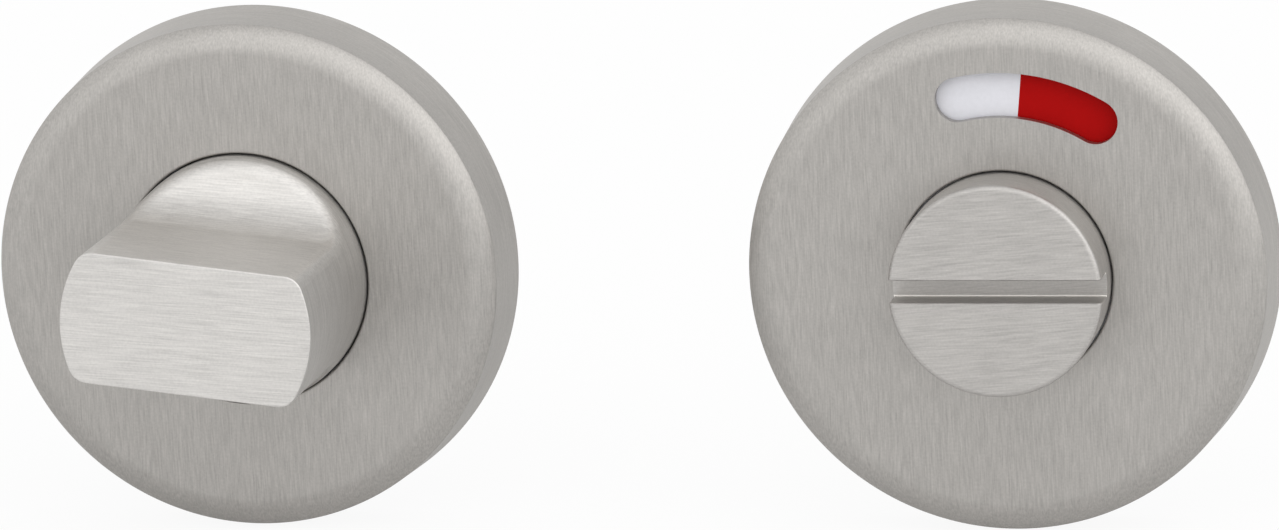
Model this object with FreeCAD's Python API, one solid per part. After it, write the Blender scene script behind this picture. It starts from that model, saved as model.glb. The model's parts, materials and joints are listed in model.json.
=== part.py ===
import FreeCAD, Part
import math
import os

# A bathroom turn and release lock set, both halves side by side as they would be fixed to a door.
# The thumb turn half stands on the origin and the coin release half stands beside it on +X.
# The door face is the plane y = 0, +Z is up, and the user stands on the -Y side.
# Heights are measured from the door face towards the user. All sizes are in millimetres.

# The set
half_spacing = 78.0
fixing_spacing = 38.0
wood_screw_inset = 0.5

# Rose covers, pressed from sheet; a rose reaches past the centres of its fixings by its margin
rose_margin = 7.5
rose_wall = 1.0
rim_draft = 0.5
edge_drop = 1.3
edge_round = 3.9
hole_edge_round = 0.25
hole_gap = 0.15

# Thumb turn
knob_radius = 12.8
knob_reach = 22.3
blade_thickness = 13.3
scoop_start = 2.0
scoop_lip = 0.25
blade_corner_round = 2.0
blade_edge_break = 0.15
turn_at_rest = 7.0

# Coin release; its head reaches past the journal by its overhang
boss_overhang = 2.7
boss_reach = 6.0
boss_edge_round = 0.5
coin_slot_width = 2.3
coin_slot_depth = 3.3
coin_slot_break = 0.1

# Indicator window in the release cover, angles clockwise from the top as the user sees it
window_middle_angle = 9.5
window_arc = 44.0
window_inset = 8.0
window_width = 4.5

# Indicator disc and its red segment
disc_thickness = 0.7
disc_margin = 1.7
disc_clearance = 0.25
disc_key_step = 1.4
disc_key_flat_step = 0.4
colour_change_angle = 6.3
red_arc = 95.0
red_thickness = 0.3
red_margin = 1.2

# Journals, bearings and what retains them
journal_radius = 8.0
bearing_wall = 1.6
flange_thickness = 0.6
flange_width = 1.3
end_play = 0.1
running_gap = 0.05
seat_gap = 0.02
journal_recess = 0.3
clip_land = 0.5
clip_thickness = 1.0
clip_width = 2.3
clip_opening = 3.6
clip_ear_radius = 1.3
clip_ear_reach = 1.0
clip_ear_hole_radius = 0.65
clip_recess_gap = 0.4
groove_depth = 0.4
washer_thickness = 0.35
washer_space = 0.8
washer_width = 2.0
washer_waves = 3
washer_gap = 0.3

# Spindle and the pin that holds it in the thumb turn
spindle_side = 8.0
spindle_length = 53.0
spindle_chamfer = 0.8
socket_gap = 0.05
turn_socket_depth = 11.6
release_socket_depth = 9.4
pin_radius = 1.0
pin_margin = 0.6

# Base plates, cast
plate_height = 6.35
plate_gap = 0.15
plate_web = 1.8
plate_rim = 2.6
hub_wall = 3.0
post_radius = 4.4
rib_width = 1.8
nib_count = 3
nib_width = 6.0
nib_gap = 0.05
nib_height = 2.2

# Through fixings: plain holes in the turn half, threaded sleeves in the release half
fixing_hole_radius = 2.15
fixing_head_radius = 4.1
sleeve_radius = 3.3
sleeve_reach = 12.0
sleeve_head_radius = 4.6
sleeve_head_flats = 7.6
sleeve_head_thickness = 1.4
sleeve_bore_radius = 1.65
sleeve_bore_depth = 14.0

# Wood screws
screw_head_radius = 3.4
screw_shank_radius = 1.75
screw_core_radius = 1.45
screw_reach = 14.0
screw_shank_reach = 3.0
screw_tip_length = 3.5
screw_hole_gap = 0.1
screw_head_sink = 0.1
recess_width = 1.0
recess_length = 3.6
recess_depth = 1.5

# Heights that follow from the sizes above
flange_top = plate_height + flange_thickness
turning_seat = flange_top + end_play
disc_top = turning_seat + disc_thickness
cover_inside = disc_top + disc_clearance
rose_height = cover_inside + rose_wall
crease_height = rose_height - edge_drop
knob_top = rose_height + knob_reach
boss_top = rose_height + boss_reach
clip_bottom = journal_recess + clip_land
clip_top = clip_bottom + clip_thickness
hub_bottom = clip_top + washer_space

# Radii and widths that follow from the sizes above
rose_radius = fixing_spacing / 2 + rose_margin
crease_radius = rose_radius - rim_draft
cover_inner_radius = rose_radius - rose_wall
boss_radius = journal_radius + boss_overhang
plate_radius = crease_radius - rose_wall - plate_gap
rim_inner_radius = plate_radius - plate_rim
window_radius = rose_radius - window_inset
disc_radius = window_radius + window_width / 2 + disc_margin
disc_key_radius = journal_radius + disc_key_step
disc_key_flats = 2 * (journal_radius + disc_key_flat_step)
scoop_round = knob_radius - blade_thickness / 2 - scoop_lip
bearing_bore_radius = journal_radius + running_gap
bearing_outer_radius = bearing_bore_radius + bearing_wall
flange_radius = bearing_outer_radius + flange_width
hub_bore_radius = bearing_outer_radius + seat_gap
hub_outer_radius = hub_bore_radius + hub_wall
groove_radius = journal_radius - groove_depth
clip_outer_radius = groove_radius + clip_width
clip_ear_distance = clip_outer_radius + clip_ear_reach - clip_ear_radius
clip_recess_radius = clip_outer_radius + clip_ear_reach + clip_recess_gap
socket_side = spindle_side + 2 * socket_gap
wood_screw_offset = fixing_spacing / 2 - wood_screw_inset

# How far a cutting body stands clear of what it cuts, and how near counts as the same place
cut_clear = 1.0
same_place = 0.01

TOWARDS_USER = FreeCAD.Vector(0, -1, 0)
CENTRE = FreeCAD.Vector(0, 0, 0)


def point(x, height, z):
    """A point given by its height above the door face."""
    return FreeCAD.Vector(x, -height, z)


def disc(radius, low, high, x=0.0, z=0.0):
    """A round bar whose axis points at the user."""
    return Part.makeCylinder(radius, high - low, point(x, low, z), TOWARDS_USER)


def ring(inner, outer, low, high, x=0.0, z=0.0):
    return disc(outer, low, high, x, z).cut(disc(inner, low, high, x, z))


def square_bar(side, low, high):
    corner = point(-side / 2, high, -side / 2)
    return Part.makeBox(side, high - low, side, corner)


def bar(length_x, length_z, low, high, x=0.0, z=0.0):
    """A block centred on x and z, with its length along the height."""
    corner = point(x - length_x / 2, high, z - length_z / 2)
    return Part.makeBox(length_x, high - low, length_z, corner)


def clockwise(shape, degrees):
    """The shape turned about the half's axis, clockwise as the user sees it."""
    turned_shape = shape.copy()
    turned_shape.rotate(CENTRE, FreeCAD.Vector(0, 1, 0), degrees)
    return turned_shape


def turned(edges):
    """A solid of revolution from a closed profile of radius and height."""
    profile = Part.Face(Part.Wire(edges))
    return profile.revolve(CENTRE, FreeCAD.Vector(0, 1, 0), 360)


def line(start, end):
    return Part.makeLine(point(start[0], start[1], 0), point(end[0], end[1], 0))


def polyline(corners):
    return [line(a, b) for a, b in zip(corners, corners[1:])]


def round_corner(centre, radius, start_degrees, end_degrees):
    """A quarter or smaller arc of a profile, its angles measured from +radius towards +height."""
    spots = []
    for degrees in (start_degrees, (start_degrees + end_degrees) / 2, end_degrees):
        angle = math.radians(degrees)
        spots.append(point(centre[0] + radius * math.cos(angle), centre[1] + radius * math.sin(angle), 0))
    return Part.Arc(*spots).toShape()


def polar(radius, degrees, height):
    """A point at an angle clockwise from the top, as the user sees it."""
    angle = math.radians(degrees)
    return point(radius * math.sin(angle), height, radius * math.cos(angle))


def arc_slot(radius, width, middle, arc, low, high):
    """A curved slot with round ends; arc is measured between the centres of its ends."""
    first = middle - arc / 2
    last = middle + arc / 2
    inner = radius - width / 2
    outer = radius + width / 2
    beyond = math.degrees(width / 2 / radius)
    edges = [
        Part.Arc(polar(outer, first, low), polar(outer, middle, low), polar(outer, last, low)),
        Part.Arc(polar(outer, last, low), polar(radius, last + beyond, low), polar(inner, last, low)),
        Part.Arc(polar(inner, last, low), polar(inner, middle, low), polar(inner, first, low)),
        Part.Arc(polar(inner, first, low), polar(radius, first - beyond, low), polar(outer, first, low)),
    ]
    outline = Part.Wire([edge.toShape() for edge in edges])
    return Part.Face(outline).extrude(TOWARDS_USER * (high - low))


def sector(inner, outer, first, last, low, high):
    """A flat segment of a ring between two angles."""
    middle = (first + last) / 2
    edges = [
        Part.Arc(polar(outer, first, low), polar(outer, middle, low), polar(outer, last, low)).toShape(),
        Part.makeLine(polar(outer, last, low), polar(inner, last, low)),
        Part.Arc(polar(inner, last, low), polar(inner, middle, low), polar(inner, first, low)).toShape(),
        Part.makeLine(polar(inner, first, low), polar(outer, first, low)),
    ]
    return Part.Face(Part.Wire(edges)).extrude(TOWARDS_USER * (high - low))


def rose_cover(hole_radius):
    """A pressed cup: a rim with a little draft, a faint crease, a soft edge and a flat face with a hole."""
    round_centre_height = rose_height - edge_round
    face_radius = crease_radius - math.sqrt(edge_round ** 2 - (edge_round - edge_drop) ** 2)
    crease_angle = math.degrees(math.asin((edge_round - edge_drop) / edge_round))
    inner_round = edge_round - rose_wall
    inner_crease_radius = crease_radius - rose_wall
    inner_angle = math.degrees(math.acos((inner_crease_radius - face_radius) / inner_round))
    inner_crease_height = round_centre_height + inner_round * math.sin(math.radians(inner_angle))
    hole_edge = (hole_radius + hole_edge_round, rose_height - hole_edge_round)
    edges = [
        line((cover_inner_radius, 0), (rose_radius, 0)),
        line((rose_radius, 0), (crease_radius, crease_height)),
        round_corner((face_radius, round_centre_height), edge_round, crease_angle, 90),
        line((face_radius, rose_height), (hole_edge[0], rose_height)),
        round_corner(hole_edge, hole_edge_round, 90, 180),
        line((hole_radius, hole_edge[1]), (hole_radius, cover_inside)),
        line((hole_radius, cover_inside), (face_radius, cover_inside)),
        round_corner((face_radius, round_centre_height), inner_round, 90, inner_angle),
        line((inner_crease_radius, inner_crease_height), (cover_inner_radius, 0)),
    ]
    return turned(edges)


def release_rose_cover():
    window = arc_slot(window_radius, window_width, window_middle_angle, window_arc, 0, rose_height)
    return rose_cover(boss_radius + hole_gap).cut(window)


def scoop():
    """What is milled away above the blade: a forward step that runs into the flat in a quarter round."""
    floor = blade_thickness / 2
    start = rose_height + scoop_start
    clear = knob_radius + cut_clear
    centre_z = floor + scoop_round
    corner = scoop_round * (1 - math.sqrt(0.5))
    side = -clear
    rise = Part.Arc(
        point(side, start, centre_z),
        point(side, start + corner, floor + corner),
        point(side, start + scoop_round, floor),
    ).toShape()
    far = [
        point(side, start + scoop_round, floor),
        point(side, knob_top + cut_clear, floor),
        point(side, knob_top + cut_clear, clear),
        point(side, start, clear),
        point(side, start, centre_z),
    ]
    edges = [rise] + [Part.makeLine(a, b) for a, b in zip(far, far[1:])]
    return Part.Face(Part.Wire(edges)).extrude(FreeCAD.Vector(2 * clear, 0, 0))


def scoop_rim_edges(shape):
    """The edges where the scoops leave the round outside of the knob, behind its front face."""
    found = []
    for edge in shape.Edges:
        middle = edge.valueAt((edge.FirstParameter + edge.LastParameter) / 2)
        on_outside = abs(math.hypot(middle.x, middle.z) - knob_radius) < same_place
        height = -middle.y
        if on_outside and rose_height + scoop_start - same_place <= height < knob_top - same_place:
            if abs(middle.x) > same_place or height < rose_height + knob_reach / 2:
                found.append(edge)
    return found


def front_edges(shape, height):
    return [edge for edge in shape.Edges if abs(edge.BoundBox.YMin + height) < same_place
            and abs(edge.BoundBox.YMax + height) < same_place]


def clip_groove():
    low = clip_bottom - running_gap
    high = clip_top + running_gap
    return ring(groove_radius, journal_radius + cut_clear, low, high)


def pin_height():
    """Halfway along the bearing, so that the bush keeps the pin in."""
    return (hub_bottom + plate_height) / 2


def cross_hole(radius, length):
    start = point(-length / 2, pin_height(), 0)
    return Part.makeCylinder(radius, length, start, FreeCAD.Vector(1, 0, 0))


def turn_knob():
    upper = scoop()
    lower = upper.mirror(CENTRE, FreeCAD.Vector(0, 0, 1))
    grip = disc(knob_radius, turning_seat, knob_top).cut(upper).cut(lower)
    grip = grip.makeFillet(blade_corner_round, scoop_rim_edges(grip))
    grip = grip.makeFillet(blade_edge_break, front_edges(grip, knob_top))
    knob = grip.fuse(disc(journal_radius, journal_recess, turning_seat)).cut(clip_groove())
    socket = square_bar(socket_side, 0, journal_recess + turn_socket_depth)
    return knob.cut(socket).cut(cross_hole(pin_radius + seat_gap, 2 * knob_radius))


def turn_spindle():
    deep = journal_recess + turn_socket_depth - socket_gap
    spindle = square_bar(spindle_side, deep - spindle_length, deep)
    ends = [edge for edge in spindle.Edges if edge.BoundBox.YLength < same_place]
    spindle = spindle.makeChamfer(spindle_chamfer, ends)
    return spindle.cut(cross_hole(pin_radius + seat_gap, 2 * spindle_side))


def turn_spindle_pin():
    return cross_hole(pin_radius, 2 * (journal_radius - pin_margin))


def release_boss():
    """The round head with its coin slot, the shoulder that keys the disc, and the journal."""
    head = disc(boss_radius, disc_top, boss_top)
    head = head.makeFillet(boss_edge_round, front_edges(head, boss_top))
    slot_floor = boss_top - coin_slot_depth
    slot = bar(2 * (boss_radius + cut_clear), coin_slot_width, slot_floor, boss_top + cut_clear)
    head = head.cut(slot)
    mouth = [edge for edge in front_edges(head, boss_top) if edge.BoundBox.ZLength < same_place]
    head = head.makeChamfer(coin_slot_break, mouth)
    key = disc_key(turning_seat, disc_top, 0)
    journal = disc(journal_radius, journal_recess, turning_seat)
    boss = head.fuse(key).fuse(journal).cut(clip_groove())
    return boss.removeSplitter().cut(square_bar(socket_side, 0, journal_recess + release_socket_depth))


def disc_key(low, high, gap):
    """The shoulder with two flats that the indicator disc fits over."""
    width = disc_key_flats + 2 * gap
    across = bar(width, 2 * (disc_key_radius + cut_clear), low, high)
    return disc(disc_key_radius + gap, low, high).common(across)


def red_segment(gap):
    first = colour_change_angle
    inner = window_radius - window_width / 2 - red_margin + gap
    outer = window_radius + window_width / 2 + red_margin - gap
    last = first + red_arc - math.degrees(gap / window_radius)
    return sector(inner, outer, first, last, disc_top - red_thickness, disc_top)


def indicator_disc():
    plain = disc(disc_radius, turning_seat, disc_top)
    return plain.cut(disc_key(turning_seat, disc_top, running_gap)).cut(red_segment(0))


def bearing_bush():
    """A flanged sleeve pressed into the hub of the base plate."""
    sleeve = ring(bearing_bore_radius, bearing_outer_radius, hub_bottom, flange_top)
    flange = ring(bearing_bore_radius, flange_radius, plate_height, flange_top)
    return sleeve.fuse(flange).removeSplitter()


def wave_edge(radius, height):
    swing = (washer_space - washer_thickness) / 2 - running_gap / 2
    steps = 8 * washer_waves
    spots = []
    for step in range(steps):
        angle = 2 * math.pi * step / steps
        rise = swing * math.cos(washer_waves * angle)
        spots.append(point(radius * math.cos(angle), height + rise, radius * math.sin(angle)))
    curve = Part.BSplineCurve()
    curve.interpolate(spots, PeriodicFlag=True)
    return curve.toShape()


def wave_washer():
    """A spring washer whose waves take up the end play of the journal."""
    inner = journal_radius + washer_gap
    outer = inner + washer_width
    low = clip_top + (washer_space - washer_thickness) / 2
    high = low + washer_thickness
    rings = [wave_edge(inner, low), wave_edge(outer, low), wave_edge(outer, high), wave_edge(inner, high)]
    faces = [Part.makeRuledSurface(a, b) for a, b in zip(rings, rings[1:] + rings[:1])]
    washer = Part.Solid(Part.Shell(faces))
    if washer.Volume < 0:
        washer.reverse()
    return washer


def retaining_ring():
    """A ring that springs into the groove, open at the bottom, with an ear on each side of the gap."""
    inner = groove_radius + seat_gap
    body = ring(inner, clip_outer_radius, clip_bottom, clip_top)
    ear_x = clip_opening / 2 + clip_ear_radius
    ear_z = -math.sqrt(clip_ear_distance ** 2 - ear_x ** 2)
    ears = [disc(clip_ear_radius, clip_bottom, clip_top, side * ear_x, ear_z) for side in (-1, 1)]
    body = body.fuse(ears)
    body = body.cut(bar(clip_opening, clip_outer_radius, clip_bottom, clip_top, 0, -clip_outer_radius))
    for side in (-1, 1):
        body = body.cut(disc(clip_ear_hole_radius, clip_bottom, clip_top, side * ear_x, ear_z))
    return body.removeSplitter()


def fixing_places():
    return [(-fixing_spacing / 2, 0), (fixing_spacing / 2, 0)]


def screw_places():
    return [(0, wood_screw_offset), (0, -wood_screw_offset)]


def plate_pockets():
    """The hollow back of the plate, around its hub, its posts and its diagonal ribs."""
    floor = plate_height - plate_web
    pockets = ring(hub_outer_radius, rim_inner_radius, 0, floor)
    for x, z in fixing_places() + screw_places():
        pockets = pockets.cut(disc(post_radius, 0, floor, x, z))
    for degrees in (45, 135):
        rib = clockwise(bar(rib_width, 2 * rose_radius, 0, floor), degrees)
        pockets = pockets.cut(rib)
    return pockets


def cover_nibs():
    """Low pads on the edge of the plate that grip the cover."""
    reach = cover_inner_radius - rim_draft * nib_height / crease_height - nib_gap
    arc = math.degrees(nib_width / plate_radius)
    nibs = []
    for index in range(nib_count):
        middle = 360 * index / nib_count
        first = middle - arc / 2
        nibs.append(sector(plate_radius - plate_rim / 2, reach, first, first + arc, 0, nib_height))
    return nibs


def csk_hole(hole_radius, head_radius, head_sink, x, z):
    """A hole through the plate, countersunk at 90 degrees from the front."""
    face = plate_height - head_sink
    cone_depth = head_radius - hole_radius
    hole = disc(hole_radius, 0, plate_height, x, z)
    cone = Part.makeCone(hole_radius, head_radius, cone_depth, point(x, face - cone_depth, z), TOWARDS_USER)
    return hole.fuse(cone).fuse(disc(head_radius, face, plate_height, x, z))


def base_plate():
    """What both plates share: the webbed disc, its hub and the countersunk wood screw holes."""
    plate = disc(plate_radius, 0, plate_height).fuse(cover_nibs())
    plate = plate.cut(plate_pockets())
    plate = plate.cut(disc(hub_bore_radius, 0, plate_height))
    plate = plate.cut(disc(clip_recess_radius, 0, hub_bottom))
    for x, z in screw_places():
        hole_radius = screw_shank_radius + screw_hole_gap
        head_radius = screw_head_radius + screw_hole_gap
        plate = plate.cut(csk_hole(hole_radius, head_radius, screw_head_sink, x, z))
    return plate.removeSplitter()


def turn_base_plate():
    plate = base_plate()
    for x, z in fixing_places():
        plate = plate.cut(csk_hole(fixing_hole_radius, fixing_head_radius, 0, x, z))
    return plate


def sleeve_head(gap, low, high, x, z):
    """The sleeve's round head with two flats that keep it from turning in the plate."""
    round_head = disc(sleeve_head_radius + gap, low, high, x, z)
    width = sleeve_head_flats + 2 * gap
    return round_head.common(bar(width, 2 * (sleeve_head_radius + cut_clear), low, high, x, z))


def release_base_plate():
    plate = base_plate()
    for x, z in fixing_places():
        seat = plate_height - sleeve_head_thickness
        plate = plate.cut(disc(sleeve_radius + seat_gap, 0, plate_height, x, z))
        plate = plate.cut(sleeve_head(seat_gap, seat, plate_height, x, z))
    return plate


def release_sleeve(x, z):
    """A threaded sleeve for a through fixing, headed inside the plate and open at the back."""
    seat = plate_height - sleeve_head_thickness
    body = disc(sleeve_radius, -sleeve_reach, seat, x, z)
    sleeve = body.fuse(sleeve_head(0, seat, plate_height, x, z)).removeSplitter()
    return sleeve.cut(disc(sleeve_bore_radius, -sleeve_reach, sleeve_bore_depth - sleeve_reach, x, z))


def wood_screw(x, z):
    """A countersunk screw with a cross recess; the threaded length is a plain core."""
    face = plate_height - screw_head_sink
    cone_end = face - (screw_head_radius - screw_shank_radius)
    corners = [
        (0, face),
        (screw_head_radius, face),
        (screw_shank_radius, cone_end),
        (screw_shank_radius, -screw_shank_reach),
        (screw_core_radius, -screw_shank_reach),
        (screw_core_radius, screw_tip_length - screw_reach),
        (0, -screw_reach),
        (0, face),
    ]
    screw = turned(polyline(corners))
    for length_x, length_z in ((recess_length, recess_width), (recess_width, recess_length)):
        screw = screw.cut(bar(length_x, length_z, face - recess_depth, face + cut_clear))
    screw.translate(FreeCAD.Vector(x, 0, z))
    return screw


def at_rest(shape):
    """What turns with the thumb turn, turned to where it stands in the photograph."""
    return clockwise(shape, turn_at_rest)


def export(name, shape, x=0.0):
    placed = shape.copy()
    placed.translate(FreeCAD.Vector(x, 0, 0))
    placed.exportStep("parts/" + name + ".step")
    print(name, "solids", len(placed.Solids), "valid", placed.isValid(), "volume", round(placed.Volume, 1))


def export_turn_half():
    export("turn_rose_cover", rose_cover(knob_radius + hole_gap))
    export("turn_base_plate", turn_base_plate())
    export("turn_bearing_bush", bearing_bush())
    export("turn_knob", at_rest(turn_knob()))
    export("turn_spindle", at_rest(turn_spindle()))
    export("turn_spindle_pin", at_rest(turn_spindle_pin()))
    export("turn_wave_washer", at_rest(wave_washer()))
    export("turn_retaining_ring", at_rest(retaining_ring()))
    for label, (x, z) in zip(("top", "bottom"), screw_places()):
        export("turn_wood_screw_" + label, wood_screw(x, z))


def export_release_half():
    export("release_rose_cover", release_rose_cover(), half_spacing)
    export("release_base_plate", release_base_plate(), half_spacing)
    export("release_bearing_bush", bearing_bush(), half_spacing)
    export("release_boss", release_boss(), half_spacing)
    export("release_wave_washer", wave_washer(), half_spacing)
    export("release_retaining_ring", retaining_ring(), half_spacing)
    export("indicator_disc", indicator_disc(), half_spacing)
    export("indicator_red_segment", red_segment(seat_gap), half_spacing)
    for label, (x, z) in zip(("left", "right"), fixing_places()):
        export("release_sleeve_" + label, release_sleeve(x, z), half_spacing)
    for label, (x, z) in zip(("top", "bottom"), screw_places()):
        export("release_wood_screw_" + label, wood_screw(x, z), half_spacing)


os.makedirs("parts", exist_ok=True)
export_turn_half()
export_release_half()
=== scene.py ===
import json
import math

import bmesh
import bpy
from bpy.props import FloatProperty, FloatVectorProperty, IntProperty, PointerProperty
from bpy.types import Operator, Panel, PropertyGroup
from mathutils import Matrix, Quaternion, Vector

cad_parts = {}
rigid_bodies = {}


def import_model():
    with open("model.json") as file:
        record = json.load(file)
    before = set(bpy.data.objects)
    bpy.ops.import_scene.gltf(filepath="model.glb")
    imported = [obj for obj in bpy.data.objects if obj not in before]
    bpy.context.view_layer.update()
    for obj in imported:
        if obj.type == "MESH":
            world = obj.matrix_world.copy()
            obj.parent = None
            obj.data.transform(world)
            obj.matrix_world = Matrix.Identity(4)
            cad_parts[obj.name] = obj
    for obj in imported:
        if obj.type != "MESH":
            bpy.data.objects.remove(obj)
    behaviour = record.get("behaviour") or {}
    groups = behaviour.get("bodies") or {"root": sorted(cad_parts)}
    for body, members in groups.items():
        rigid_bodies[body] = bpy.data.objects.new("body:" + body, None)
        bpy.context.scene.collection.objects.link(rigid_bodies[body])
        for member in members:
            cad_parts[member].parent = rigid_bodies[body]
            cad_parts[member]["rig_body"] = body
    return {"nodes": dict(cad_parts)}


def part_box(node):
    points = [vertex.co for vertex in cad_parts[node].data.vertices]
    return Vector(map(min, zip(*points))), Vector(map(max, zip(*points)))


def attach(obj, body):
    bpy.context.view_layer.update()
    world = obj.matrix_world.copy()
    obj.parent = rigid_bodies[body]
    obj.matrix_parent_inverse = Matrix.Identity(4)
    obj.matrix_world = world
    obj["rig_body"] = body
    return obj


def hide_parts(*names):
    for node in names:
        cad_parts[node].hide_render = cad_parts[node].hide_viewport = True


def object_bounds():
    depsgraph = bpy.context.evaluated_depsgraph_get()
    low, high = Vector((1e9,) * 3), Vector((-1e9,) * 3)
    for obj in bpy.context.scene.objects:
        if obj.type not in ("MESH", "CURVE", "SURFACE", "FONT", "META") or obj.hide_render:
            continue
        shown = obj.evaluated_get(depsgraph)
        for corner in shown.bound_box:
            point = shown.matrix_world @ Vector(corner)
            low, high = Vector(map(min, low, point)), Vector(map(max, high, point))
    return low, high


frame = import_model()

bl_info = {
    "name": "Bathroom Turn and Release Set",
    "version": (1, 0, 0),
    "blender": (4, 5, 0),
    "location": "View3D > Sidebar > Lock Set",
    "description": "Presses, threads and brushes a thumb turn and coin release lock set",
    "category": "Object",
}

# The thumb turn half stands on the origin, the coin release half beside it on +X.
# The user stands on the -Y side and +Z is up. All sizes are in metres.
CAD_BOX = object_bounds()
ROSE_LOW, ROSE_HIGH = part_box("turn_rose_cover")
RELEASE_LOW, RELEASE_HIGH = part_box("release_rose_cover")
KNOB_LOW, KNOB_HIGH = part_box("turn_knob")
BOSS_LOW, BOSS_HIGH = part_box("release_boss")
TURN_X = (ROSE_LOW.x + ROSE_HIGH.x) / 2
RELEASE_X = (RELEASE_LOW.x + RELEASE_HIGH.x) / 2
ROSE_RADIUS = (ROSE_HIGH.x - ROSE_LOW.x) / 2
ROSE_HEIGHT = -ROSE_LOW.y
KNOB_RADIUS = (KNOB_HIGH.x - KNOB_LOW.x) / 2
BOSS_RADIUS = (BOSS_HIGH.x - BOSS_LOW.x) / 2

# Spinning about CLOCKWISE turns clockwise as the user sees it, and about UPWARD from radius towards height.
CLOCKWISE = (0, -1, 0)
UPWARD = (0, 0, 1)
MERGE = 1e-6
FLAT_ANGLE = math.radians(1)
SMOOTH_ANGLE = math.radians(30)

# Steps of the round stretches of a cover and its window, and of one turn of a thread.
SOFT_EDGE_STEPS = 12
INNER_EDGE_STEPS = 10
HOLE_ROUND_STEPS = 5
WINDOW_SIDE_STEPS = 48
WINDOW_END_STEPS = 16
THREAD_STEPS = 24

# The grain passes from straight to round between these cosines of a normal to the way out from the axis,
# and between these depths below the outside.
SIDE_COSINES = (0.82, 0.95)
SIDE_DEPTHS = (0.0006, 0.0002)
GRAIN_RELIEF = 0.00001

# Distances from the floor of the coin slot at which its painted highlight lines begin to fade and are gone.
SLOT_FLOOR_REACH = (0.00001, 0.00005)

# The floor glows at 1 to the camera and at FLOOR_GLOW to all else. The shares say how much of that glow the
# camera and a mirrored ray see in place of the lit floor.
FLOOR_SIZE = 12
FLOOR_GLOW = 0.85
CAMERA_SHARE = 0.92
MIRRORED_SHARE = 0.35

# The studio's even light, and the soft lights and dark screens round it: where each lies, the cosines of
# the angles to it at which it begins and is full, and its strength.
AMBIENT = 0.8
SOFT_LIGHTS = {
    "overhead": ((0, 0, 1), 0.1, 0.9, 0.156),
    "front": ((0, -0.95, 0.3), 0.4, 1.0, 0.85),
    "right screen": ((1, 0, 0), 0.2, 1.0, -0.315),
    "left": ((-1, 0, 0), 0.2, 1.0, 0.34),
    "behind": ((0, 1, 0), 0.0, 0.8, 0.257),
    "upper right": ((0.67, -0.31, 0.67), 0.7, 0.98, 1.05),
    "right": ((0.9, -0.4, 0.15), 0.8, 0.98, 1.1),
}


def length(name, description, default):
    return FloatProperty(name=name, description=description, default=default,
                         subtype="DISTANCE", unit="LENGTH")


def angle(name, description, degrees):
    return FloatProperty(name=name, description=description, default=math.radians(degrees),
                         subtype="ANGLE", unit="ROTATION")


def colour(name, description, default):
    return FloatVectorProperty(name=name, description=description, default=default,
                               subtype="COLOR", min=0, max=1)


def position(name, description, default):
    return FloatVectorProperty(name=name, description=description, default=default,
                               subtype="XYZ", unit="LENGTH")


class CoverSizes(PropertyGroup):
    wall: length("Wall", "Thickness of the pressed steel", 0.001)
    rim_draft: length("Rim Draft", "How far the rim leans in from its foot to the crease", 0.0005)
    edge_drop: length("Edge Drop", "How far the crease lies below the face", 0.0013)
    edge_round: length("Soft Edge", "Radius of the soft edge between the crease and the face", 0.0039)
    crease_round: length("Crease Round", "How far the crease itself is rounded over", 0.00008)
    hole_gap: length("Hole Gap", "Gap between the hole and what turns in it", 0.00015)
    hole_round: length("Hole Round", "Radius of the hole's front edge", 0.00025)
    window_inset: length("Window Inset", "From the rim to the middle of the window", 0.008)
    window_width: length("Window Width", "Width of the curved window", 0.0045)
    window_middle: angle("Window Middle", "Where the window's middle lies, clockwise from the top", 9.5)
    window_arc: angle("Window Arc", "Angle between the centres of the window's round ends", 44.0)
    window_round: length("Window Round", "How far the window's front edge is rounded over", 0.00014)
    segments: IntProperty(name="Segments", description="Steps round the cover", default=240, min=24)


class CoinSlotSizes(PropertyGroup):
    width: length("Width", "Width of the coin slot", 0.0023)
    depth: length("Depth", "Depth of the coin slot", 0.0033)
    # Painted highlight: the lighter line laid along each bottom corner of the slot, where the light catches
    # it, is this wide.
    line_width: length("Line Width", "Width of the line burnished along each bottom corner", 0.00015)


class ThreadSizes(PropertyGroup):
    screw_pitch: length("Screw Pitch", "From one turn of a wood screw's thread to the next", 0.0014)
    screw_core: length("Screw Core", "Radius of a wood screw below its thread", 0.00145)
    screw_depth: length("Screw Thread Depth", "How far a wood screw's thread stands out", 0.0003)
    screw_start: length("Thread Start", "How far behind the door face the wood thread starts", 0.0032)
    screw_tip: length("Tip Length", "Length of a wood screw's point", 0.0035)
    sleeve_pitch: length("Sleeve Pitch", "From one turn of a sleeve's thread to the next", 0.0007)
    sleeve_bore: length("Sleeve Bore", "Radius of a sleeve inside its thread", 0.00165)
    sleeve_depth: length("Sleeve Thread Depth", "How far a sleeve's thread cuts into its wall", 0.0003)
    sleeve_thread: length("Sleeve Thread Length", "How far a sleeve's thread reaches in", 0.007)


class EdgeSizes(PropertyGroup):
    plate: length("Base Plate Edge", "How far the edges of the cast base plates are rounded over", 0.0002)
    screw: length("Screw Edge", "How far the edges of a wood screw are rounded over", 0.00006)
    sleeve: length("Sleeve Edge", "How far the edges of a fixing sleeve are rounded over", 0.00015)
    bush: length("Bush Edge", "How far the edges of a nylon bush are rounded over", 0.00015)
    ring: length("Ring Edge", "How far the edges of a retaining ring are rounded over", 0.00008)
    spindle: length("Spindle Edge", "How far the edges of the spindle are rounded over", 0.0002)


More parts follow.
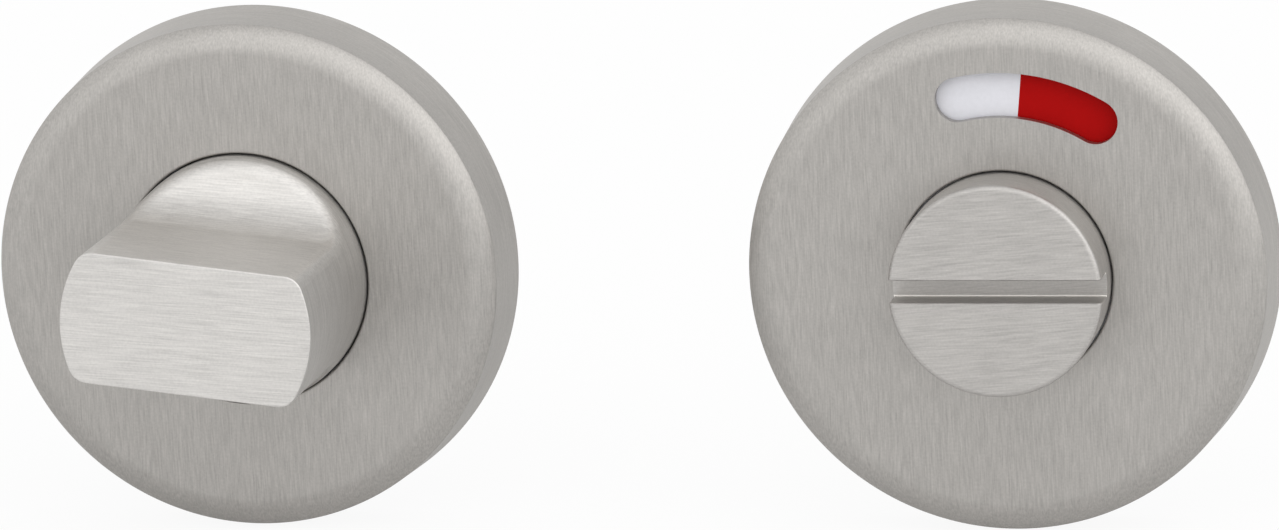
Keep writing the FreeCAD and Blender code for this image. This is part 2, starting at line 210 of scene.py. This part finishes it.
class LockFinish(PropertyGroup):
    # The thumb turn's steel, and a little the release head's, are the rose steel painted lighter: painted
    # light for the overhead light that their sideways grain catches.
    rose_steel: colour("Rose Steel", "Brushed steel of the rose covers", (0.46, 0.443, 0.422))
    turn_steel_painted_lighter: colour("Turn Steel", "Brushed steel of the thumb turn", (0.67, 0.653, 0.63))
    release_steel_painted_lighter: colour("Release Steel", "Brushed steel of the release head", (0.50, 0.483, 0.464))
    grain_width: length("Grain Width", "Width of one line of the brushed grain", 0.00013)
    rose_grain: length("Rose Grain", "Length of one line of grain on the rose covers", 0.0022)
    turn_grain: length("Turn Grain", "Length of one line of grain on the thumb turn", 0.004)
    head_grain: length("Head Grain", "Length of one line of grain on the release head", 0.0025)
    turn_lean: angle("Turn Grain Lean", "How far the grain of the thumb turn runs down to the right", 4.0)
    head_lean: angle("Head Grain Lean", "How far the grain of the release head runs down to the right", -4.0)
    vacant_white: colour("Vacant White", "Free field of the indicator", (0.70, 0.70, 0.74))
    engaged_red: colour("Engaged Red", "Engaged field of the indicator", (0.37, 0.004, 0.004))
    cast_zinc: colour("Cast Zinc", "Cast metal of the base plates", (0.42, 0.43, 0.45))
    zinc_plating: colour("Zinc Plating", "Plating of the wood screws", (0.62, 0.61, 0.57))
    sleeve_steel: colour("Sleeve Steel", "Turned steel of the fixing sleeves", (0.58, 0.58, 0.57))
    nylon: colour("Nylon", "Moulded nylon of the bushes", (0.62, 0.60, 0.54))
    spring_steel: colour("Spring Steel", "Steel of the rings and the wave washers", (0.30, 0.29, 0.28))
    drawn_steel: colour("Drawn Steel", "Steel of the spindle and its pin", (0.48, 0.47, 0.45))


class LockStage(PropertyGroup):
    camera_place: position("Camera", "Where the camera stands", (0.19721, -0.69646, 0.16072))
    camera_aim: position("Aim", "The point that the camera looks at", (0.03908, 0.0, -0.00069))
    camera_roll: angle("Roll", "How far the camera leans about its line of sight", -2.910)
    camera_lens: FloatProperty(
        name="Lens", description="Focal length in millimetres on a 36 mm sensor", default=203.384)
    lamp_place: position("Lamp", "Where the near panel of light stands", (0.039, -0.20, 0.24))
    lamp_aim: position("Lamp Aim", "The point that the near panel faces", (0.039, 0.0, 0.01))
    lamp_size: length("Lamp Size", "Width of the near panel", 0.12)
    lamp_power: FloatProperty(
        name="Lamp Power", description="Power of the near panel", default=0.01, unit="POWER")


def make_active(piece):
    bpy.ops.object.select_all(action="DESELECT")
    piece.select_set(True)
    bpy.context.view_layer.objects.active = piece


def added(name):
    """The primitive that was just added, named, with its place moved into its mesh."""
    piece = bpy.context.object
    piece.name = name
    bpy.ops.object.transform_apply(location=True, rotation=True, scale=True)
    return piece


def edit(piece):
    make_active(piece)
    bpy.ops.object.mode_set(mode="EDIT")
    bpy.ops.mesh.select_all(action="SELECT")


def leave_edit():
    bpy.ops.object.mode_set(mode="OBJECT")


def apply_modifier(piece, kind, **settings):
    make_active(piece)
    modifier = piece.modifiers.new(kind.lower(), kind)
    for name, setting in settings.items():
        setattr(modifier, name, setting)
    bpy.ops.object.modifier_apply(modifier=modifier.name)


def combine(piece, tool, operation):
    """Cut tool out of the piece, or fuse it to the piece, and throw the tool away."""
    apply_modifier(piece, "BOOLEAN", operation=operation, object=tool, solver="EXACT")
    bpy.data.objects.remove(tool)


def one_vertex(name, place):
    """A mesh of one vertex, in edit mode, to draw an outline from."""
    bpy.ops.object.select_all(action="DESELECT")
    bpy.ops.mesh.primitive_plane_add(size=0.001, location=place)
    piece = added(name)
    edit(piece)
    bpy.ops.mesh.merge(type="CENTER")
    return piece


class Section:
    """A section drawn beside a half's axis, by radius and by height above the door."""

    def __init__(self, name, x, radius, height):
        self.x = x
        self.radius = radius
        self.height = height
        self.piece = one_vertex(name, (x + radius, -height, 0))

    def line(self, radius, height):
        step = (radius - self.radius, self.height - height, 0)
        bpy.ops.mesh.extrude_vertices_move(TRANSFORM_OT_translate={"value": step})
        self.radius = radius
        self.height = height

    def arc(self, centre_radius, centre_height, turn, steps):
        centre = (self.x + centre_radius, -centre_height, 0)
        bpy.ops.mesh.spin(steps=steps, angle=turn, center=centre, axis=UPWARD)
        out = self.radius - centre_radius
        up = self.height - centre_height
        self.radius = centre_radius + out * math.cos(turn) - up * math.sin(turn)
        self.height = centre_height + out * math.sin(turn) + up * math.cos(turn)

    def spin(self, segments):
        """Turn the closed section into a round piece."""
        bpy.ops.mesh.select_all(action="SELECT")
        bpy.ops.mesh.spin(steps=segments, angle=math.tau, center=(self.x, 0, 0), axis=CLOCKWISE)
        close_mesh()
        return self.piece


def close_mesh():
    bpy.ops.mesh.select_all(action="SELECT")
    bpy.ops.mesh.remove_doubles(threshold=MERGE)
    bpy.ops.mesh.normals_make_consistent(inside=False)
    leave_edit()


def select_edges(piece, wanted):
    """Select the edges with both ends where wanted, given a place, says so."""
    edit(piece)
    bpy.ops.mesh.select_mode(type="EDGE")
    bpy.ops.mesh.select_all(action="DESELECT")
    mesh = bmesh.from_edit_mesh(piece.data)
    inside = {vertex for vertex in mesh.verts if wanted(vertex.co)}
    for edge in mesh.edges:
        edge.select_set(inside.issuperset(edge.verts))
    bmesh.update_edit_mesh(piece.data)


def near(x, radius, height):
    """A test for places on a circle round a half's axis."""
    def on_circle(place):
        off_circle = abs(math.hypot(place.x - x, place.z) - radius)
        return off_circle < MERGE and abs(place.y + height) < MERGE

    return on_circle


def round_selected(width, segments):
    bpy.ops.mesh.bevel(offset=width, segments=segments, affect="EDGES", clamp_overlap=True)
    bpy.ops.mesh.select_mode(type="VERT")
    leave_edit()


def smooth(piece):
    """Smooth the round faces and keep the flat ones flat to the light."""
    make_active(piece)
    bpy.ops.object.shade_smooth_by_angle(angle=SMOOTH_ANGLE)
    apply_modifier(piece, "WEIGHTED_NORMAL", keep_sharp=True)


def merged_copy(name):
    """The node's mesh with its triangles joined and its flat faces made whole."""
    piece = bpy.data.objects.new(name + "_finished", frame["nodes"][name].data.copy())
    bpy.context.scene.collection.objects.link(piece)
    make_active(piece)
    bpy.ops.mesh.customdata_custom_splitnormals_clear()
    edit(piece)
    bpy.ops.mesh.remove_doubles(threshold=MERGE)
    bpy.ops.mesh.dissolve_limited(angle_limit=FLAT_ANGLE)
    leave_edit()
    return piece


def softened_copy(name, width):
    """The node's mesh with every sharp edge rounded over by a width."""
    piece = merged_copy(name)
    apply_modifier(piece, "BEVEL", width=width, segments=2, limit_method="ANGLE", angle_limit=SMOOTH_ANGLE)
    return piece


def moved_copy(piece, name, offset):
    make_active(piece)
    bpy.ops.object.duplicate(linked=False)
    copy = bpy.context.object
    copy.name = name
    bpy.ops.transform.translate(value=offset)
    bpy.ops.object.transform_apply(location=True)
    return copy


def stand_in(piece, name, material):
    """Let the finished piece stand for the node of that name, on the node's own body, with the given material
    in its one slot.
    """
    piece.data.materials.clear()
    piece.data.materials.append(material)
    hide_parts(name)
    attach(piece, frame["nodes"][name]["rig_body"])


def pressed_cover(name, x, hole_radius):
    """A pressed cup: a rim with a little draft, a crease, a soft edge and a flat face with a round hole."""
    sizes = bpy.context.scene.cover_sizes
    crease_radius = ROSE_RADIUS - sizes.rim_draft
    crease_height = ROSE_HEIGHT - sizes.edge_drop
    round_centre = ROSE_HEIGHT - sizes.edge_round
    crease_angle = math.asin((sizes.edge_round - sizes.edge_drop) / sizes.edge_round)
    face_radius = crease_radius - sizes.edge_round * math.cos(crease_angle)
    inner_round = sizes.edge_round - sizes.wall
    inner_angle = math.acos((crease_radius - sizes.wall - face_radius) / inner_round)
    inside = ROSE_HEIGHT - sizes.wall

    section = Section(name, x, ROSE_RADIUS - sizes.wall, 0)
    section.line(ROSE_RADIUS, 0)
    section.line(crease_radius, crease_height)
    section.arc(face_radius, round_centre, math.pi / 2 - crease_angle, SOFT_EDGE_STEPS)
    section.line(hole_radius + sizes.hole_round, ROSE_HEIGHT)
    section.arc(hole_radius + sizes.hole_round, ROSE_HEIGHT - sizes.hole_round, math.pi / 2, HOLE_ROUND_STEPS)
    section.line(hole_radius, inside)
    section.line(face_radius, inside)
    section.arc(face_radius, round_centre, inner_angle - math.pi / 2, INNER_EDGE_STEPS)
    section.line(ROSE_RADIUS - sizes.wall, 0)
    cover = section.spin(sizes.segments)
    select_edges(cover, near(x, crease_radius, crease_height))
    round_selected(sizes.crease_round, segments=2)
    return cover


def polar(x, radius, turn, y):
    """A place at an angle clockwise from the top of a half."""
    return (x + radius * math.sin(turn), y, radius * math.cos(turn))


def window_cutter(x, middle_radius):
    """A curved bar with round ends that reaches through the face of the cover."""
    sizes = bpy.context.scene.cover_sizes
    first = sizes.window_middle - sizes.window_arc / 2
    last = sizes.window_middle + sizes.window_arc / 2
    front = -ROSE_HEIGHT - sizes.wall
    cutter = one_vertex("window_cutter", polar(x, middle_radius - sizes.window_width / 2, first, front))
    around = (
        (sizes.window_arc, (x, front, 0), WINDOW_SIDE_STEPS),
        (-math.pi, polar(x, middle_radius, last, front), WINDOW_END_STEPS),
        (-sizes.window_arc, (x, front, 0), WINDOW_SIDE_STEPS),
        (-math.pi, polar(x, middle_radius, first, front), WINDOW_END_STEPS),
    )
    for turn, centre, steps in around:
        bpy.ops.mesh.spin(steps=steps, angle=turn, center=centre, axis=CLOCKWISE)
    bpy.ops.mesh.select_all(action="SELECT")
    bpy.ops.mesh.remove_doubles(threshold=MERGE)
    bpy.ops.mesh.edge_face_add()
    bpy.ops.mesh.extrude_region_move(TRANSFORM_OT_translate={"value": (0, 3 * sizes.wall, 0)})
    close_mesh()
    return cutter


def cut_window(cover, x):
    """Cut the indicator's window and round its front edge."""
    sizes = bpy.context.scene.cover_sizes
    middle_radius = ROSE_RADIUS - sizes.window_inset
    combine(cover, window_cutter(x, middle_radius), "DIFFERENCE")
    reach = sizes.window_width / 2 + MERGE

    def on_window(place):
        off_middle = abs(math.hypot(place.x - x, place.z) - middle_radius)
        return off_middle < reach and abs(place.y + ROSE_HEIGHT) < MERGE

    select_edges(cover, on_window)
    round_selected(sizes.window_round, segments=3)


def helical_ridge(name, x, z, radius, depth, pitch, start, end, narrowing):
    """A thread's ridge wound about an axis along Y; narrowing gives its share of the radius at each y."""
    rise = pitch / THREAD_STEPS
    bpy.ops.object.select_all(action="DESELECT")
    bpy.ops.mesh.primitive_circle_add(
        vertices=4, radius=depth, fill_type="NGON", location=(x + radius, start, z))
    ridge = added(name)
    edit(ridge)
    centre = (x, 0, z)
    share = 1.0
    y = start
    while y <= end:
        change = narrowing(y) / share
        bpy.ops.transform.resize(value=(change, 1, change), center_override=centre)
        share *= change
        bpy.ops.mesh.extrude_region_move(TRANSFORM_OT_translate={"value": (0, rise, 0)})
        bpy.ops.transform.rotate(value=-math.tau / THREAD_STEPS, orient_axis="Y", center_override=centre)
        y += rise
    close_mesh()
    return ridge


def node(tree, kind, values=None, **settings):
    """A shader node whose sockets are given as numbers or as the sockets that feed them."""
    made = tree.nodes.new("ShaderNode" + kind)
    for name, setting in settings.items():
        setattr(made, name, setting)
    for socket, value in (values or {}).items():
        if isinstance(value, bpy.types.NodeSocket):
            tree.links.new(value, made.inputs[socket])
        else:
            made.inputs[socket].default_value = value
    return made


def new_material(name):
    material = bpy.data.materials.new(name)
    material.use_nodes = True
    return material, material.node_tree, material.node_tree.nodes["Principled BSDF"]


def maths(tree, operation, *values):
    return node(tree, "Math", dict(enumerate(values)), operation=operation).outputs[0]


def between(tree, value, low, high):
    """A number that follows value from low to high."""
    return node(tree, "MapRange", {"Value": value, "To Min": low, "To Max": high}).outputs[0]


def soft_step(tree, value, low, high):
    """0 below low, 1 above high and a soft passage between them."""
    return node(tree, "MapRange", {"Value": value, "From Min": low, "From Max": high},
                interpolation_type="SMOOTHSTEP").outputs[0]


def noise(tree, place, scale, detail=2.0):
    """Noise whose lumps measure 1 / scale along each axis of place."""
    stretched = node(tree, "Mapping", {"Vector": place, "Scale": scale})
    return node(tree, "TexNoise", {"Vector": stretched.outputs[0], "Scale": 1.0, "Detail": detail}).outputs[0]


def paint(tree, shader, steel, *tones):
    """Give the shader a colour made lighter and darker by tones about 0."""
    shade = 1.0
    for tone in tones:
        shade = maths(tree, "ADD", tone, shade)
    tinted = node(tree, "VectorMath", {0: tuple(steel), "Scale": shade}, operation="SCALE").outputs[0]
    tree.links.new(tinted, shader.inputs["Base Color"])


def roughen(tree, shader, height, depth, strength):
    bump = node(tree, "Bump", {"Height": height, "Strength": strength, "Distance": depth})
    tree.links.new(bump.outputs[0], shader.inputs["Normal"])


def grain(tree, place, along, width, run):
    """Lines of grain, fine ones and broader ones, that run along X, Y or Z of place."""
    fine = tuple(1 / run if axis == along else 1 / width for axis in "XYZ")
    broad = tuple(0.4 / run if axis == along else 0.3 / width for axis in "XYZ")
    return noise(tree, place, fine), noise(tree, place, broad)


def brushed_steel(name, steel, x, outer, along, run, contrast, roughness,
                  tilt=0.0, painted_side_shade=0.0, painted_highlights=None):
    """Steel brushed in straight lines, and round and round on its round sides. Its round sides can be
    darkened as painted shade, and painted highlights can be laid on it.
    """
    finish = bpy.context.scene.lock_finish
    roughness_swing = 0.12
    material, tree, shader = new_material(name)
    coordinates = node(tree, "TexCoord").outputs
    centred = node(tree, "Mapping", {"Vector": coordinates["Object"], "Location": (-x, 0, 0)}).outputs[0]
    straight = node(tree, "Mapping", {"Vector": centred, "Rotation": (0, -tilt, 0)}).outputs[0]
    parts = node(tree, "SeparateXYZ", {0: centred}).outputs
    outward = node(tree, "CombineXYZ", {"X": parts["X"], "Z": parts["Z"]}).outputs[0]
    radius = node(tree, "VectorMath", {0: outward}, operation="LENGTH").outputs["Value"]
    unit = node(tree, "VectorMath", {0: outward}, operation="NORMALIZE").outputs[0]
    facing = node(tree, "VectorMath", {0: unit, 1: coordinates["Normal"]},
                  operation="DOT_PRODUCT").outputs["Value"]
    side = maths(tree, "MULTIPLY", soft_step(tree, facing, *SIDE_COSINES),
                 soft_step(tree, radius, outer - SIDE_DEPTHS[0], outer - SIDE_DEPTHS[1]))
    arc = maths(tree, "MULTIPLY", maths(tree, "ARCTAN2", parts["X"], parts["Z"]), KNOB_RADIUS)
    wound = node(tree, "CombineXYZ", {"X": radius, "Y": parts["Y"], "Z": arc}).outputs[0]

    straight_fine, straight_broad = grain(tree, straight, along, finish.grain_width, run)
    round_fine, round_broad = grain(tree, wound, "Z", finish.grain_width, run)
    fine = node(tree, "Mix", {"Factor": side, "A": straight_fine, "B": round_fine}).outputs[0]
    broad = node(tree, "Mix", {"Factor": side, "A": straight_broad, "B": round_broad}).outputs[0]
    speck = noise(tree, coordinates["Object"], (4000, 4000, 4000), detail=1.0)
    cloud = noise(tree, coordinates["Object"], (150, 150, 150), detail=3.0)
    paint(tree, shader, steel,
          between(tree, fine, -contrast, contrast),
          between(tree, broad, -contrast / 6, contrast / 6),
          between(tree, speck, -contrast / 3, contrast / 3),
          between(tree, cloud, -0.05, 0.05),
          # Painted shade: the round sides are made darker in colour, where less light falls on them.
          maths(tree, "MULTIPLY", side, painted_side_shade),
          # Painted highlight: lighter lines laid on where an edge catches the light.
          painted_highlights(tree, parts) if painted_highlights else 0.0)
    rubbed = between(tree, fine, roughness - roughness_swing, roughness + roughness_swing)
    tree.links.new(rubbed, shader.inputs["Roughness"])
    roughen(tree, shader, fine, GRAIN_RELIEF, strength=0.6)

    across = (0, 0, 1) if along == "X" else (1, 0, 0)
    straight_lean = node(tree, "CombineXYZ", dict(zip("XYZ", across))).outputs[0]
    round_lean = node(tree, "CombineXYZ", {"Y": 1.0}).outputs[0]
    lean = node(tree, "Mix", {"Factor": side, 4: straight_lean, 5: round_lean}, data_type="VECTOR")
    tree.links.new(lean.outputs[1], shader.inputs["Tangent"])
    shader.inputs["Metallic"].default_value = 1.0
    shader.inputs["Anisotropic"].default_value = 0.4
    return material


def painted_slot_highlight(tree, parts):
    """Painted highlight: a brighter tone along the two bottom corners of the coin slot, where those corners
    catch the light.
    """
    slot = bpy.context.scene.coin_slot_sizes
    floor = BOSS_LOW.y + slot.depth
    off_corner = maths(tree, "SUBTRACT", maths(tree, "ABSOLUTE", parts["Z"]), slot.width / 2)
    off_line = soft_step(tree, maths(tree, "ABSOLUTE", off_corner), slot.line_width / 2, slot.line_width)
    off_floor = maths(tree, "ABSOLUTE", maths(tree, "SUBTRACT", parts["Y"], floor))
    off = maths(tree, "MAXIMUM", off_line, soft_step(tree, off_floor, *SLOT_FLOOR_REACH))
    return maths(tree, "SUBTRACT", 1.0, off)


def plain_finish(name, tint, roughness, scale, contrast=0.18, metallic=1.0, depth=0.00002):
    """A cast, plated, drawn or moulded surface with a fine mottle or fine lines."""
    material, tree, shader = new_material(name)
    place = node(tree, "TexCoord").outputs["Object"]
    roughness_swing = 0.1
    mottle = noise(tree, place, scale, detail=4.0)
    cloud = noise(tree, place, (220, 220, 220), detail=3.0)
    paint(tree, shader, tint, between(tree, mottle, -contrast, contrast), between(tree, cloud, -0.06, 0.06))
    worn = between(tree, mottle, roughness - roughness_swing, roughness + roughness_swing)
    tree.links.new(worn, shader.inputs["Roughness"])
    roughen(tree, shader, mottle, depth, strength=0.5)
    shader.inputs["Metallic"].default_value = metallic
    return material


def give(material, *names):
    for name in names:
        frame["nodes"][name].material_slots[0].material = material


class LOCK_OT_rose_covers(Operator):
    """Press the two rose covers, cut the window and brush them upright"""
    bl_idname = "lock.rose_covers"
    bl_label = "Rose Covers"

    def execute(self, context):
        finish = context.scene.lock_finish
        gap = context.scene.cover_sizes.hole_gap
        turn_cover = pressed_cover("turn_rose_pressed", TURN_X, KNOB_RADIUS + gap)
        release_cover = pressed_cover("release_rose_pressed", RELEASE_X, BOSS_RADIUS + gap)
        cut_window(release_cover, RELEASE_X)
        covers = (
            (turn_cover, "turn_rose_cover", TURN_X),
            (release_cover, "release_rose_cover", RELEASE_X),
        )
        for cover, name, x in covers:
            smooth(cover)
            steel = brushed_steel("brushed_" + name, finish.rose_steel, x, ROSE_RADIUS, "Z",
                                  run=finish.rose_grain, contrast=0.3, roughness=0.5)
            stand_in(cover, name, steel)
        return {"FINISHED"}


class LOCK_OT_turning_parts(Operator):
    """Brush the thumb turn and the release head, and paint a highlight along the bottom corners of the coin
    slot
    """
    bl_idname = "lock.turning_parts"
    bl_label = "Thumb Turn and Release Head"

    def execute(self, context):
        finish = context.scene.lock_finish
        # Painted shade: the thumb turn's round side is painted a fifth darker.
        turn = brushed_steel("brushed_turn", finish.turn_steel_painted_lighter, TURN_X, KNOB_RADIUS, "X",
                             run=finish.turn_grain, contrast=0.26, roughness=0.46,
                             tilt=finish.turn_lean, painted_side_shade=-0.2)
        give(turn, "turn_knob")
        # The release head gets a painted highlight along the bottom corners of its coin slot.
        head = brushed_steel("brushed_release_head", finish.release_steel_painted_lighter, RELEASE_X, BOSS_RADIUS, "X",
                             run=finish.head_grain, contrast=0.28, roughness=0.46,
                             tilt=finish.head_lean, painted_highlights=painted_slot_highlight)
        give(head, "release_boss")
        return {"FINISHED"}


class LOCK_OT_indicator(Operator):
    """Colour the indicator disc and its red field"""
    bl_idname = "lock.indicator"
    bl_label = "Indicator"

    def execute(self, context):
        finish = context.scene.lock_finish
        fields = (("indicator_disc", finish.vacant_white), ("indicator_red_segment", finish.engaged_red))
        for name, tint in fields:
            plastic = plain_finish(name + "_plastic", tint, roughness=0.5, scale=(2500, 2500, 2500),
                                   contrast=0.05, metallic=0.0, depth=0.000003)
            plastic.node_tree.nodes["Principled BSDF"].inputs["Specular IOR Level"].default_value = 0.03
            give(plastic, name)
        return {"FINISHED"}


class LOCK_OT_base_plates(Operator):
    """Soften the cast edges of the base plates"""
    bl_idname = "lock.base_plates"
    bl_label = "Base Plates"

    def execute(self, context):
        cast = plain_finish("cast_zinc_plate", context.scene.lock_finish.cast_zinc, roughness=0.5,
                            scale=(1500, 1500, 1500), contrast=0.15, depth=0.00006)
        for name in ("turn_base_plate", "release_base_plate"):
            plate = softened_copy(name, context.scene.edge_sizes.plate)
            smooth(plate)
            stand_in(plate, name, cast)
        return {"FINISHED"}


class LOCK_OT_wood_screws(Operator):
    """Wind the thread of one wood screw and copy the screw to its four places"""
    bl_idname = "lock.wood_screws"
    bl_label = "Wood Screws"

    def execute(self, context):
        sizes = context.scene.thread_sizes
        names = [half + "_wood_screw_" + place for half in ("turn", "release") for place in ("top", "bottom")]
        low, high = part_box(names[0])
        x = (low.x + high.x) / 2
        z = (low.z + high.z) / 2
        point = high.y
        buried = 0.8

        def narrowing(y):
            """Rise out of the core within half a turn, and close in on the point."""
            emerging = min(1, buried + (y - sizes.screw_start) / sizes.screw_pitch / 2)
            return min(emerging, (point - y) / sizes.screw_tip)

        ridge = helical_ridge("screw_thread", x, z, sizes.screw_core, sizes.screw_depth, sizes.screw_pitch,
                              sizes.screw_start, point - sizes.screw_tip / 4, narrowing)
        screw = softened_copy(names[0], context.scene.edge_sizes.screw)
        combine(screw, ridge, "UNION")
        smooth(screw)
        first = (low + high) / 2
        screws = {names[0]: screw}
        for name in names[1:]:
            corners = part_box(name)
            screws[name] = moved_copy(screw, name + "_finished", (corners[0] + corners[1]) / 2 - first)
        plated = plain_finish("zinc_plated_screw", context.scene.lock_finish.zinc_plating, roughness=0.32,
                              scale=(5000, 2500, 5000), contrast=0.12)
        for name, copy in screws.items():
            stand_in(copy, name, plated)
        return {"FINISHED"}


class LOCK_OT_sleeves(Operator):
    """Cut the thread of the fixing sleeves"""
    bl_idname = "lock.sleeves"
    bl_label = "Fixing Sleeves"

    def execute(self, context):
        sizes = context.scene.thread_sizes
        low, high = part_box("release_sleeve_left")
        x = (low.x + high.x) / 2
        sleeve = softened_copy("release_sleeve_left", context.scene.edge_sizes.sleeve)
        ridge = helical_ridge("sleeve_thread", x, 0.0, sizes.sleeve_bore, sizes.sleeve_depth,
                              sizes.sleeve_pitch, high.y - sizes.sleeve_thread, high.y, lambda y: 1.0)
        combine(sleeve, ridge, "DIFFERENCE")
        smooth(sleeve)
        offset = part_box("release_sleeve_right")[0] - low
        twin = moved_copy(sleeve, "release_sleeve_right_finished", offset)
        steel = plain_finish("turned_sleeve_steel", context.scene.lock_finish.sleeve_steel, roughness=0.35,
                             scale=(300, 8000, 300), contrast=0.15)
        stand_in(sleeve, "release_sleeve_left", steel)
        stand_in(twin, "release_sleeve_right", steel)
        return {"FINISHED"}


class LOCK_OT_bearings(Operator):
    """Finish the nylon bushes, the spring parts, the spindle and its pin"""
    bl_idname = "lock.bearings"
    bl_label = "Bearings and Spindle"

    def execute(self, context):
        finish = context.scene.lock_finish
        edges = context.scene.edge_sizes
        nylon = plain_finish("moulded_nylon", finish.nylon, roughness=0.45, scale=(1200, 1200, 1200),
                             contrast=0.04, metallic=0.0)
        spring = plain_finish("spring_steel", finish.spring_steel, roughness=0.4, scale=(3000, 9000, 3000),
                              contrast=0.15)
        drawn = plain_finish("drawn_steel", finish.drawn_steel, roughness=0.35, scale=(7000, 200, 7000),
                             contrast=0.2)
        finishes = (
            (nylon, edges.bush, ("turn_bearing_bush", "release_bearing_bush")),
            (spring, edges.ring, ("turn_retaining_ring", "release_retaining_ring")),
            (drawn, edges.spindle, ("turn_spindle",)),
        )
        for material, width, names in finishes:
            for name in names:
                piece = softened_copy(name, width)
                smooth(piece)
                stand_in(piece, name, material)
        give(spring, "turn_wave_washer", "release_wave_washer")
        give(drawn, "turn_spindle_pin")
        return {"FINISHED"}


class LOCK_OT_stage(Operator):
    """Lay the floor, light the set and set up the camera"""
    bl_idname = "lock.stage"
    bl_label = "Stage"

    def execute(self, context):
        stage = context.scene.lock_stage
        bpy.ops.object.select_all(action="DESELECT")
        bpy.ops.mesh.primitive_plane_add(size=FLOOR_SIZE, location=(0, 0, CAD_BOX[0].z))
        floor = context.object
        floor.name = "floor"
        floor.data.materials.append(background_material())
        light_world(context.scene)
        area_light("near_panel", stage.lamp_place, stage.lamp_aim, stage.lamp_size, stage.lamp_power)

        bpy.ops.object.camera_add(location=stage.camera_place)
        camera = context.object
        camera.name = "photo_camera"
        sight = Vector(stage.camera_aim) - Vector(stage.camera_place)
        upright = sight.to_track_quat("-Z", "Y")
        camera.rotation_euler = (upright @ Quaternion((0, 0, 1), stage.camera_roll)).to_euler()
        camera.data.sensor_width = 36.0
        camera.data.lens = stage.camera_lens
        camera.data.clip_start = 0.01
        camera.data.clip_end = 20
        context.scene.camera = camera
        context.scene.view_settings.view_transform = "Standard"
        return {"FINISHED"}


def background_material():
    """A pale floor that reads as white and keeps a faint shadow."""
    material = bpy.data.materials.new("pale_floor")
    material.use_nodes = True
    tree = material.node_tree
    tree.nodes.clear()
    surface = node(tree, "BsdfDiffuse", {"Color": (0.8, 0.8, 0.8, 1)})
    path = node(tree, "LightPath").outputs
    glow = node(tree, "Emission", {"Strength": between(tree, path["Is Camera Ray"], FLOOR_GLOW, 1.0)})
    mirrored = maths(tree, "MAXIMUM", path["Is Glossy Ray"], path["Is Transmission Ray"])
    share = maths(tree, "MAXIMUM", maths(tree, "MULTIPLY", path["Is Camera Ray"], CAMERA_SHARE),
                  maths(tree, "MULTIPLY", mirrored, MIRRORED_SHARE))
    mixed = node(tree, "MixShader", {0: share, 1: surface.outputs[0], 2: glow.outputs[0]})
    node(tree, "OutputMaterial", {"Surface": mixed.outputs[0]})
    return material


def light_world(scene):
    """A white surround to the eye, and soft lights round the set."""
    world = bpy.data.worlds.new("studio")
    scene.world = world
    world.use_nodes = True
    tree = world.node_tree
    tree.nodes.clear()
    way = node(tree, "TexCoord").outputs["Generated"]
    light = AMBIENT
    for towards, begin, full, strength in SOFT_LIGHTS.values():
        aim = tuple(Vector(towards).normalized())
        cosine = node(tree, "VectorMath", {0: way, 1: aim}, operation="DOT_PRODUCT").outputs["Value"]
        glow = maths(tree, "MULTIPLY", soft_step(tree, cosine, begin, full), strength)
        light = maths(tree, "ADD", glow, light)
    path = node(tree, "LightPath").outputs
    strength = node(tree, "Mix", {"Factor": path["Is Camera Ray"], "A": light, "B": 1.0}).outputs[0]
    background = node(tree, "Background", {"Strength": strength})
    node(tree, "OutputWorld", {"Surface": background.outputs[0]})


def area_light(name, place, aim, size, power):
    bpy.ops.object.light_add(type="AREA", location=place)
    lamp = bpy.context.object
    lamp.name = name
    lamp.rotation_euler = (Vector(aim) - Vector(place)).to_track_quat("-Z", "Y").to_euler()
    lamp.visible_camera = False
    lamp.data.size = size
    lamp.data.energy = power


class LOCK_PT_panel(Panel):
    """Every step of the lock set, in order"""
    bl_label = "Lock Set"
    bl_space_type = "VIEW_3D"
    bl_region_type = "UI"
    bl_category = "Lock Set"

    def draw(self, context):
        layout = self.layout
        for group in SETTINGS:
            settings = getattr(context.scene, group)
            for name in settings.__annotations__:
                layout.prop(settings, name)
        for step in STEPS:
            layout.operator(step.bl_idname)


SETTINGS = {
    "cover_sizes": CoverSizes,
    "coin_slot_sizes": CoinSlotSizes,
    "thread_sizes": ThreadSizes,
    "edge_sizes": EdgeSizes,
    "lock_finish": LockFinish,
    "lock_stage": LockStage,
}
STEPS = (LOCK_OT_rose_covers, LOCK_OT_turning_parts, LOCK_OT_indicator, LOCK_OT_base_plates,
         LOCK_OT_wood_screws, LOCK_OT_sleeves, LOCK_OT_bearings, LOCK_OT_stage)
CLASSES = (*SETTINGS.values(), *STEPS, LOCK_PT_panel)


def register():
    for made in CLASSES:
        bpy.utils.register_class(made)
    for name, group in SETTINGS.items():
        setattr(bpy.types.Scene, name, PointerProperty(type=group))


def unregister():
    for name in SETTINGS:
        delattr(bpy.types.Scene, name)
    for made in reversed(CLASSES):
        bpy.utils.unregister_class(made)


def main():
    register()
    bpy.ops.lock.rose_covers()
    bpy.ops.lock.turning_parts()
    bpy.ops.lock.indicator()
    bpy.ops.lock.base_plates()
    bpy.ops.lock.wood_screws()
    bpy.ops.lock.sleeves()
    bpy.ops.lock.bearings()
    bpy.ops.lock.stage()


if __name__ == "__main__":
    main()
